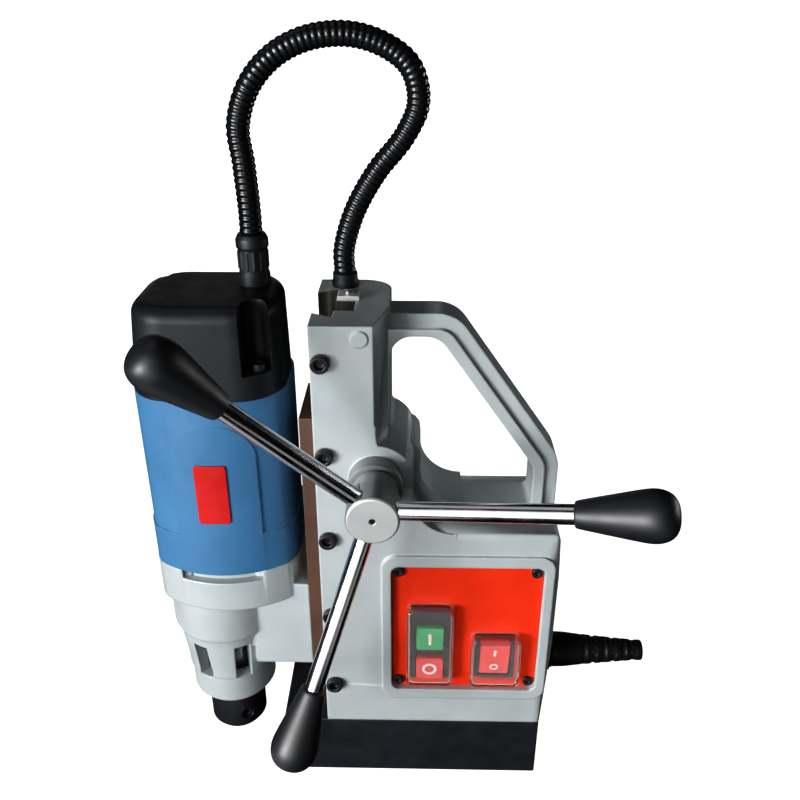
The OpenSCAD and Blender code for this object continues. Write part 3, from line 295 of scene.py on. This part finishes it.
def clear_shell(name):
    f = Finish(name)
    f.fixed(Transmission_Weight=0.985, IOR=1.36, Coat_Weight=0.3, Coat_Roughness=0.05)
    haze = f.noise(70, 4)
    colour = f.blend(f.between(haze, 0, 1), (0.97, 0.95, 0.94), (0.9, 0.86, 0.84))
    return f.set(colour, f.between(haze, 0.02, 0.1), f.bump(f.noise(160, 2), 0.00002))


finish = {
    "cast_grey": painted("silver_grey_casting", (0.475, 0.52, 0.53), (0.42, 0.465, 0.475),
                         (0.36, 0.5), 1500, 0.000035, worn=(0.62, 0.65, 0.66), swell=0.00012,
                         soft=0.0016, Metallic=0.2),
    "magnet_black": painted("magnet_satin_black", (0.015, 0.0165, 0.021), (0.01, 0.011, 0.014),
                            (0.36, 0.54), 800, 0.00003, worn=(0.05, 0.05, 0.056),
                            Specular_IOR_Level=0.35),
    "motor_blue": painted("motor_blue", (0.05, 0.17, 0.33), (0.042, 0.146, 0.29), (0.42, 0.54),
                          1800, 0.00004, worn=(0.2, 0.42, 0.6), Specular_IOR_Level=0.42),
    "black_plastic": painted("moulded_black", (0.0105, 0.012, 0.015), (0.0075, 0.009, 0.011),
                             (0.38, 0.52), 1300, 0.00004, worn=(0.025, 0.027, 0.03),
                             Specular_IOR_Level=0.3),
    "black_rubber": painted("black_rubber", (0.008, 0.008, 0.01), (0.005, 0.005, 0.006),
                            (0.36, 0.52), 900, 0.00003, Specular_IOR_Level=0.28),
    "black_screw": painted("black_oxide", (0.022, 0.023, 0.027), (0.013, 0.0135, 0.016),
                           (0.26, 0.42), 1200, 0.00002, worn=(0.06, 0.06, 0.065), Metallic=0.3),
    "panel_red": painted("panel_orange_red", (0.72, 0.034, 0.007), (0.65, 0.028, 0.005),
                         (0.36, 0.5), 1600, 0.000015, Specular_IOR_Level=0.25),
    "label_red": painted("label_red", (0.54, 0.018, 0.017), (0.47, 0.013, 0.013), (0.36, 0.48),
                         1500, 0.00001, Specular_IOR_Level=0.25),
    "green_button": painted("button_green", (0.02, 0.33, 0.12), (0.014, 0.27, 0.09), (0.25, 0.36),
                            1400, 0.00001, worn=(0.08, 0.42, 0.2), Coat_Weight=0.2),
    "red_button": painted("button_red", (0.66, 0.035, 0.03), (0.56, 0.025, 0.022), (0.25, 0.36),
                          1400, 0.00001, worn=(0.75, 0.12, 0.1), Coat_Weight=0.2),
    "potting": painted("cast_resin", (0.03, 0.03, 0.033), (0.018, 0.018, 0.02), (0.4, 0.6),
                       500, 0.00008),
    "board_green": painted("circuit_board", (0.02, 0.16, 0.06), (0.014, 0.11, 0.04), (0.3, 0.5),
                           900, 0.00004),
    "carbon": painted("carbon_brush", (0.03, 0.03, 0.032), (0.018, 0.018, 0.019), (0.5, 0.7),
                      2200, 0.00004),
    "clear_cover": clear_shell("clear_cover"),
    "steel": metal("ground_steel", (0.55, 0.56, 0.58), (0.45, 0.46, 0.48), (0.22, 0.4), (1, 1, 12)),
    "core_steel": metal("core_stampings", (0.36, 0.37, 0.39), (0.27, 0.28, 0.3), (0.35, 0.5),
                        (1, 1, 25), 0.00004),
    "bright_plate": painted("zinc_plate", (0.8, 0.8, 0.78), (0.66, 0.66, 0.64), (0.3, 0.46),
                            1100, 0.00002, worn=(0.9, 0.9, 0.88), soft=0.0003, Metallic=0.45),
    "rod_chrome": metal("polished_rod", (0.82, 0.83, 0.85), (0.72, 0.73, 0.76), (0.15, 0.24),
                        depth=0, scale=90),
    "hub_metal": turned("turned_hub", (0.74, 0.75, 0.75), (0.64, 0.65, 0.66), (0.32, 0.325, 0.33),
                        (0.34, 0.5), (FEED_X, HUB_FACE_Y, FEED_Z), "Y", Metallic=0.7),
    "bronze": metal("bearing_bronze", (0.6, 0.42, 0.2), (0.48, 0.33, 0.15), (0.25, 0.42),
                    (1, 1, 10)),
    "copper": metal("wound_copper", (0.63, 0.27, 0.12), (0.5, 0.2, 0.08), (0.25, 0.45),
                    (1, 1, 40), 0.00006),
    "rail_brown": painted("rail_brown", (0.108, 0.053, 0.033), (0.07, 0.034, 0.023), (0.42, 0.62),
                          1100, 0.00005, worn=(0.22, 0.12, 0.08), cloud=16, Metallic=0.2),
}
knob_black = painted("knob_gloss_black", (0.0105, 0.0115, 0.0145), (0.007, 0.008, 0.01),
                     (0.42, 0.5), 420, 0.00002, Specular_IOR_Level=0.6)
hose_black = painted("hose_gloss_black", (0.007, 0.008, 0.01), (0.004, 0.005, 0.006),
                     (0.16, 0.26), 700, 0.00002, Specular_IOR_Level=0.4)
# Dark grey painted shade, laid on the boss round the feed shaft below the hub.
boss_painted_shade = painted("painted_shade_on_boss", (0.28, 0.29, 0.295), (0.22, 0.228, 0.232), (0.36, 0.5),
                    1500, 0.00003, Metallic=0.3)
# Near black inside the slide's groove: partly the ways' greased bare metal, partly painted shade in
# the recess.
groove_grease_and_shade = painted("groove_grease_and_painted_shade", (0.06, 0.06, 0.048), (0.03, 0.03, 0.024), (0.3, 0.5),
                      1500, 0.00003, cloud=60, Metallic=0.4)
mark_white = painted("white_mark", (0.78, 0.76, 0.74), (0.68, 0.66, 0.64), (0.35, 0.5),
                     900, 0.00001)
floor_pale = painted("pale_floor", (0.36, 0.36, 0.365), (0.35, 0.35, 0.355), (0.6, 0.75),
                     60, 0.00001, Emission_Color=(1, 1, 1, 1), Emission_Strength=0.97)

for node, solid in frame["nodes"].items():
    for held in solid.material_slots:
        held.material = finish[SLOT[node]]


def lay_floor():
    work = bmesh.new()
    bmesh.ops.create_grid(work, x_segments=2, y_segments=2, size=40)
    mesh = bpy.data.meshes.new("floor")
    work.to_mesh(mesh)
    work.free()
    mesh.materials.append(floor_pale)
    floor = bpy.data.objects.new("floor", mesh)
    floor.visible_diffuse = floor.visible_glossy = False
    scene.collection.objects.link(floor)


lay_floor()


# Ways to make a piece.

SAME_PLACE = 0.000002
FLAT = radians(0.4)


def place_piece(name, work, look, node, smooth=35, edge=None, steps=2, rides=True):
    """Turns the bmesh into a piece that stands for the node and rides the node's body.

    With an edge, in mm, its corners are rounded. With an edge of 0 only the shading is evened.
    """
    mesh = bpy.data.meshes.new(name)
    work.to_mesh(mesh)
    work.free()
    for used in look if isinstance(look, tuple) else (look,):
        mesh.materials.append(used)
    mesh.shade_smooth()
    mesh.set_sharp_from_angle(angle=radians(smooth))
    piece = bpy.data.objects.new(name, mesh)
    scene.collection.objects.link(piece)
    if edge:
        soften = piece.modifiers.new("soft_edges", "BEVEL")
        soften.width = edge * MM
        soften.segments = steps
        soften.limit_method = "ANGLE"
        soften.angle_limit = radians(smooth)
        soften.use_clamp_overlap = False
        soften.miter_outer = "MITER_ARC"
    if edge is not None:
        even = piece.modifiers.new("even_shading", "WEIGHTED_NORMAL")
        even.keep_sharp = True
    if rides:
        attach(piece, BODY[node])
    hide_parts(node)
    return piece


def copy_of(node):
    """The solid's own mesh, merged, with its flat faces joined up."""
    work = bmesh.new()
    work.from_mesh(frame["nodes"][node].data)
    bmesh.ops.remove_doubles(work, verts=work.verts, dist=SAME_PLACE)
    bmesh.ops.dissolve_limit(work, angle_limit=FLAT, verts=work.verts, edges=work.edges)
    for face in work.faces:
        face.material_index = 0
    return work


def spun(profile, steps, place=Matrix()):
    """A closed turning from (radius, height) points in mm, about Z."""
    work = bmesh.new()
    line = [work.verts.new((r * MM, 0, z * MM)) for r, z in profile]
    edges = [work.edges.new(pair) for pair in zip(line, line[1:])]
    bmesh.ops.spin(work, geom=line + edges, cent=(0, 0, 0), axis=(0, 0, 1), angle=2 * pi,
                   steps=steps, use_merge=True, use_duplicate=False)
    bmesh.ops.remove_doubles(work, verts=work.verts, dist=SAME_PLACE)
    bmesh.ops.recalc_face_normals(work, faces=work.faces)
    bmesh.ops.transform(work, matrix=place, verts=work.verts)
    return work


def block(low, high):
    """A box between two corners, in mm."""
    work = bmesh.new()
    bmesh.ops.create_cube(work, size=1)
    sides = [(b - a) * MM for a, b in zip(low, high)]
    middle = [(a + b) / 2 * MM for a, b in zip(low, high)]
    bmesh.ops.scale(work, vec=sides, verts=work.verts)
    bmesh.ops.translate(work, vec=middle, verts=work.verts)
    return work


def round_off(work, edges, radius, steps):
    bmesh.ops.bevel(work, geom=edges, offset=radius * MM, offset_type="OFFSET", segments=steps,
                    profile=0.5, affect="EDGES", material=-1)


def upright(work, test=lambda v: True):
    """The edges that stand upright and whose ends pass the test."""
    return [e for e in work.edges
            if abs((e.verts[0].co - e.verts[1].co).normalized().z) > 0.9
            and all(test(v.co) for v in e.verts)]


def joined(*works):
    whole = works[0]
    for other in works[1:]:
        mesh = bpy.data.meshes.new("joining")
        other.to_mesh(mesh)
        other.free()
        whole.from_mesh(mesh)
        bpy.data.meshes.remove(mesh)
    return whole


def carved(work, *cutters):
    """The shape with the cutters taken out of it."""
    held = []
    for shape in (work, *cutters):
        mesh = bpy.data.meshes.new("carving")
        shape.to_mesh(mesh)
        shape.free()
        held.append(bpy.data.objects.new("carving", mesh))
        scene.collection.objects.link(held[-1])
    for cutter in held[1:]:
        cut = held[0].modifiers.new("cut", "BOOLEAN")
        cut.operation = "DIFFERENCE"
        cut.solver = "EXACT"
        cut.object = cutter
    result = bmesh.new()
    result.from_object(held[0], bpy.context.evaluated_depsgraph_get())
    for used in held:
        mesh = used.data
        bpy.data.objects.remove(used)
        bpy.data.meshes.remove(mesh)
    return result


# The flexible hose, on the route of the solid, in mm.

HOSE_ROUTE = [
    (-39.5, 27, 327), (-39.5, 27, 341), (-33, 26, 362), (-21, 25, 383), (-6.5, 24, 401),
    (1, 22, 418), (-2.5, 20, 435), (-15, 19, 445.5), (-33, 17, 451), (-53, 15, 449.5),
    (-70.5, 13, 441.5), (-83.5, 11, 427.5), (-90, 10, 409), (-88.5, 9, 390), (-87.5, 9, 368),
    (-87.5, 9, 354)]
HOSE_RIBS = 88
HOSE_RADIUS = 6.2
HOSE_SIDES = 20
RIB_SHAPE = (5.65, 5.9, 6.15, HOSE_RADIUS, 6.15, 5.9)
STRAIGHT_END = 0.03
FINE_STEPS = 12000


def on_route(s):
    """The place at share s of the route, on a smooth curve through its points."""
    points = [Vector(p) * MM for p in HOSE_ROUTE]
    last = len(points) - 1
    k = min(int(s * last), last - 1)
    t = s * last - k
    a, b, c, d = (points[min(max(i, 0), last)] for i in (k - 1, k, k + 1, k + 2))
    return 0.5 * (2 * b + (c - a) * t + (2 * a - 5 * b + 4 * c - d) * t ** 2
                  + (3 * b - a - 3 * c + d) * t ** 3)


def hose_heading(s):
    if s < STRAIGHT_END:
        return Vector((0, 0, 1))
    if s > 1 - STRAIGHT_END:
        return Vector((0, 0, -1))
    return (on_route(min(1, s + 0.002)) - on_route(max(0, s - 0.002))).normalized()


def ring_place(s):
    along = hose_heading(s)
    u = along.cross(Vector((0, 1, 0))).normalized()
    v = u.cross(along)
    return Matrix.Translation(on_route(s)) @ Matrix((u, v, along)).transposed().to_4x4()


def evenly(count):
    """Places on the route that are equal lengths apart."""
    points = [on_route(i / FINE_STEPS) for i in range(FINE_STEPS + 1)]
    run = [0.0]
    for a, b in zip(points, points[1:]):
        run.append(run[-1] + (b - a).length)
    return [min(bisect_left(run, run[-1] * i / count), FINE_STEPS) / FINE_STEPS
            for i in range(count + 1)]


def flexible_hose():
    places = evenly(len(RIB_SHAPE) * HOSE_RIBS)
    rings = [(s, RIB_SHAPE[i % len(RIB_SHAPE)]) for i, s in enumerate(places)]
    work = bmesh.new()
    made = bmesh.ops.create_circle(work, segments=HOSE_SIDES, radius=rings[0][1] * MM)
    bmesh.ops.transform(work, matrix=ring_place(0), verts=made["verts"])
    rim = list(work.edges)
    for (s0, r0), (s1, r1) in zip(rings, rings[1:]):
        grown = bmesh.ops.extrude_edge_only(work, edges=rim)["geom"]
        rim = [e for e in grown if isinstance(e, bmesh.types.BMEdge)]
        moved = [v for v in grown if isinstance(v, bmesh.types.BMVert)]
        step = ring_place(s1) @ Matrix.Scale(r1 / r0, 4) @ ring_place(s0).inverted()
        bmesh.ops.transform(work, matrix=step, verts=moved)
    bmesh.ops.recalc_face_normals(work, faces=work.faces)
    hose = place_piece("ribbed_hose", work, hose_black, "flex_hose", smooth=70, rides=False)
    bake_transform(hose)


flexible_hose()


# Pieces taken from the solids, with the rounding of their edges in mm and in steps.

SOFTENED = {
    "gearbox_housing": (0, 0), "magnet_body": (1.1, 3), "slide_rail": (0.4, 2),
    "control_panel": (0.3, 2), "panel_screws": (0.3, 2), "gib_screws": (0.5, 2),
    "switch_body": (0.4, 2), "rocker_housing": (0.4, 2), "switch_cover": (0.6, 3),
    "rocker_cover": (0.6, 3), "top_gland": (0.5, 2), "clamp_plate": (0.4, 2),
    "clamp_screw": (0.25, 2), "cord_gland": (0.5, 2), "motor_housing": (0, 0),
    "motor_label": (0, 0), "cap_screws": (0.3, 2), "feed_hub": (0.4, 2),
    "arbor_screws": (0.2, 2), "spindle": (0.3, 2), "nose_bush": (0.3, 2), "gear_plate": (0.3, 2),
}
BLACKENED = {"cap_screws", "arbor_screws"}
for node, (edge, steps) in SOFTENED.items():
    look = finish["black_screw" if node in BLACKENED else SLOT[node]]
    place_piece("soft_" + node, copy_of(node), look, node, edge=edge, steps=steps)


# The casting, with painted shade on the boss round the feed shaft, and the slide's groove darkened,
# partly as greased bare metal and partly as painted shade.

BOSS_RADIUS = 0.0156
BOSS_BACK = -0.0372
GROOVE_LEFT, GROOVE_RIGHT = -0.0539, -0.027
GROOVE_HALF_WIDTH = 0.0265


# The boss's nose, whose faces are given painted shade.
def on_boss(p):
    return Vector((p.x - FEED_X, p.z - FEED_Z)).length < BOSS_RADIUS and p.y < BOSS_BACK


# The groove's inner walls, which are darkened, partly as greased bare metal and partly as painted
# shade.
def in_groove(p, normal):
    return (GROOVE_LEFT < p.x < GROOVE_RIGHT and abs(p.y) < GROOVE_HALF_WIDTH
            and abs(normal.z) < 0.5)


def stand():
    work = copy_of("stand_casting")
    for face in work.faces:
        p = face.calc_center_median()
        face.material_index = 1 if on_boss(p) else 2 if in_groove(p, face.normal) else 0
    looks = finish["cast_grey"], boss_painted_shade, groove_grease_and_shade
    place_piece("soft_stand_casting", work, looks, "stand_casting", edge=0)


stand()


# Switch pieces, whose raised marks are white.

MARK_DEPTH = 0.0003
ROCKER_MARK_Y = -0.0046
ROCKER_TILT = radians(9)


def marked(node, in_front):
    work = copy_of(node)
    for face in work.faces:
        face.material_index = int(in_front(face.calc_center_median()))
    place_piece("soft_" + node, work, (finish[SLOT[node]], mark_white), node, edge=0.35)


for node in ("start_button", "stop_button"):
    marked(node, lambda p, front=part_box(node)[0][1] + MARK_DEPTH: p.y < front)
rocker_level = (Matrix.Rotation(-ROCKER_TILT, 4, "X")
                @ Matrix.Translation([-c for c in AXIS["rocker_tip"]]))
marked("magnet_rocker", lambda p: (rocker_level @ p).y < ROCKER_MARK_Y)


# Hose sleeve, arbor and end cap, in mm.

def hose_sleeve():
    """The solid's sleeve with a ring of moulded grip ribs."""
    count, half_width, inside, outside = 12, 0.85, 7.5, 8.45
    low, length, rounding = 335.0, 10, 0.4
    x, y, _ = HOSE_ROUTE[-1]
    middle = Matrix.Translation((x * MM, y * MM, 0))
    ribs = []
    for k in range(count):
        rib = block((-half_width, -outside, low), (half_width, -inside, low + length))
        outer = [e for e in rib.edges if all(v.co.y < -0.008 for v in e.verts)]
        round_off(rib, outer, rounding, 2)
        turn = Matrix.Rotation(2 * pi * (k + 0.5) / count, 4, "Z")
        bmesh.ops.transform(rib, matrix=middle @ turn, verts=rib.verts)
        ribs.append(rib)
    work = joined(copy_of("hose_connector"), *ribs)
    place_piece("ribbed_sleeve", work, finish[SLOT["hose_connector"]], "hose_connector", edge=0.3)


hose_sleeve()


def arbor():
    """The solid's arbor with its lower edge well rounded."""
    inside_rim, rounding = 0.017, 4.5
    work = copy_of("arbor")
    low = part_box("arbor")[0][2] + 0.0001
    middle = AXIS["spindle_spin"][0]

    def on_rim(p):
        return p.z < low and Vector((p.x - middle, p.y)).length > inside_rim

    round_off(work, [e for e in work.edges if all(on_rim(v.co) for v in e.verts)], rounding, 6)
    place_piece("rounded_arbor", work, finish[SLOT["arbor"]], "arbor", edge=0.3)


arbor()


def end_cap():
    """The cap, narrower at its top, with an open slot and a deep socket for its two screws."""
    x, low, high = AXIS["armature_spin"][0] / MM, 275.0, 326.0
    half_x, half_y, corner, rim_rounding = 41.5, 35.5, 24.5, 8
    taper_left, taper_right, taper_y = 4, 1, 0.5
    screw_z, above = low + 14, high + 20
    slot_left, slot_right, slot_back, slot_rounding = x + 22.74, x + 36.74, -16.74, 6.95
    socket_x, socket_y, socket_radius = x - 29.74, 23.74, 4.6
    work = block((x - half_x, -half_y, low), (x + half_x, half_y, high))
    round_off(work, upright(work), corner, 16)
    top = [v for v in work.verts if v.co.z > (high - 1) * MM]
    for v in top:
        taper = taper_left if v.co.x < x * MM else taper_right
        v.co.x = x * MM + (v.co.x - x * MM) * (1 - taper / half_x)
        v.co.y *= 1 - taper_y / half_y
    rim = [e for e in work.edges if all(v.co.z > (high - 1) * MM for v in e.verts)]
    round_off(work, rim, rim_rounding, 8)
    slot = block((slot_left, -60, screw_z), (slot_right, slot_back, above))
    round_off(slot, upright(slot, lambda p: p.y > -0.03), slot_rounding, 10)
    socket = spun([(0, screw_z), (socket_radius, screw_z), (socket_radius, above), (0, above)], 32,
                  Matrix.Translation((socket_x * MM, socket_y * MM, 0)))
    place_piece("rounded_end_cap", carved(work, slot, socket), finish["black_plastic"], "end_cap",
                smooth=40, edge=0)


end_cap()


# Feed rods and knobs, as turnings in mm along the lever.

LEVER_Y = -0.067
FIRST_LEVER = 11.4
LEVER_LEAN = 17


def lever_place(i):
    """Turns a lever from Z to its place round the feed shaft, leaning to the front."""
    return (Matrix.Translation((FEED_X, LEVER_Y, FEED_Z))
            @ Matrix.Rotation(radians(-FIRST_LEVER - 360 / LEVER_COUNT * i), 4, "Y")
            @ Matrix.Rotation(radians(-LEVER_LEAN), 4, "Z") @ Matrix.Rotation(radians(90), 4, "Y"))


def on_levers(outline, steps):
    return joined(*(spun(outline, steps, lever_place(i)) for i in range(LEVER_COUNT)))


def feed_rods():
    r, start, end, chamfer = 5.0, 9.0, 128.0, 0.6
    outline = [(0, start), (r, start), (r, end - chamfer), (r - chamfer, end), (0, end)]
    place_piece("polished_rods", on_levers(outline, 64), finish["rod_chrome"], "feed_rods")


feed_rods()


def feed_knobs():
    r, neck, tip = 13.0, 104.0, 152.0
    outline = [(4.9, neck + 0.9), (5.6, neck), (r * 0.5, neck + 0.15), (r * 0.53, neck + 1.2),
               (r * 0.57, neck + 4), (r * 0.66, neck + 10), (r * 0.8, neck + 20),
               (r * 0.93, neck + 29), (r, tip - 13), (r * 0.98, tip - 9), (r * 0.88, tip - 5),
               (r * 0.68, tip - 2.1), (r * 0.38, tip - 0.5), (0, tip - 0.2)]
    knobs = place_piece("spun_knobs", on_levers(outline, 28), knob_black, "feed_knobs", smooth=80)
    rounding = knobs.modifiers.new("rounding", "SUBSURF")
    rounding.levels = rounding.render_levels = 2


feed_knobs()


# Cord boot, as a turning in mm along the cord, with bars across its grooves.

BOOT_LENGTH = 60.0
BOOT_BORE = 4
BOOT_PLACE = (0.093, 0, 0.074)
BOOT_GROOVES = [21 + k * (BOOT_LENGTH - 27) / 5 for k in range(6)]


def boot_skin(z):
    """The boot's radius between its grooves."""
    return 11.2 - (z - 8) * 0.8 / 10 if z < 18 else 10.4 - (z - 18) * 3.8 / 42


def boot_outline():
    half = 1.3
    outline = [(BOOT_BORE, 0), (11.0, 0), (11.4, 0.8), (11.2, 8)]
    for k, z in enumerate(BOOT_GROOVES):
        deep = 8.9 - k * 0.52
        before, after = boot_skin(z - half), boot_skin(z + half)
        outline += [(before - 0.4, z - half - 0.4), (before - 0.7, z - half),
                    (deep, z - half + 0.2), (deep, z + half - 0.2),
                    (after - 0.7, z + half), (after - 0.4, z + half + 0.4)]
    outline += [(6.7, BOOT_LENGTH - 1), (6.2, BOOT_LENGTH), (BOOT_BORE, BOOT_LENGTH)]
    return outline + outline[:1]


def cord_boot():
    bar_half_width, bar_half_length, inside, sunk = 2.75, 1.4, 4.4, 0.6
    to_right = Matrix.Translation(BOOT_PLACE) @ Matrix.Rotation(radians(90), 4, "Y")
    works = [spun(boot_outline(), 48, to_right)]
    for k, z in enumerate(BOOT_GROOVES):
        for side in (0, 180):
            bar = block((-bar_half_width, inside, z - bar_half_length),
                        (bar_half_width, boot_skin(z) - sunk, z + bar_half_length))
            turn = Matrix.Rotation(radians(side + 90 * (k % 2) + 45), 4, "Z")
            bmesh.ops.transform(bar, matrix=to_right @ turn, verts=bar.verts)
            works.append(bar)
    place_piece("ribbed_boot", joined(*works), finish["black_rubber"], "cord_boot", edge=0.25)


cord_boot()
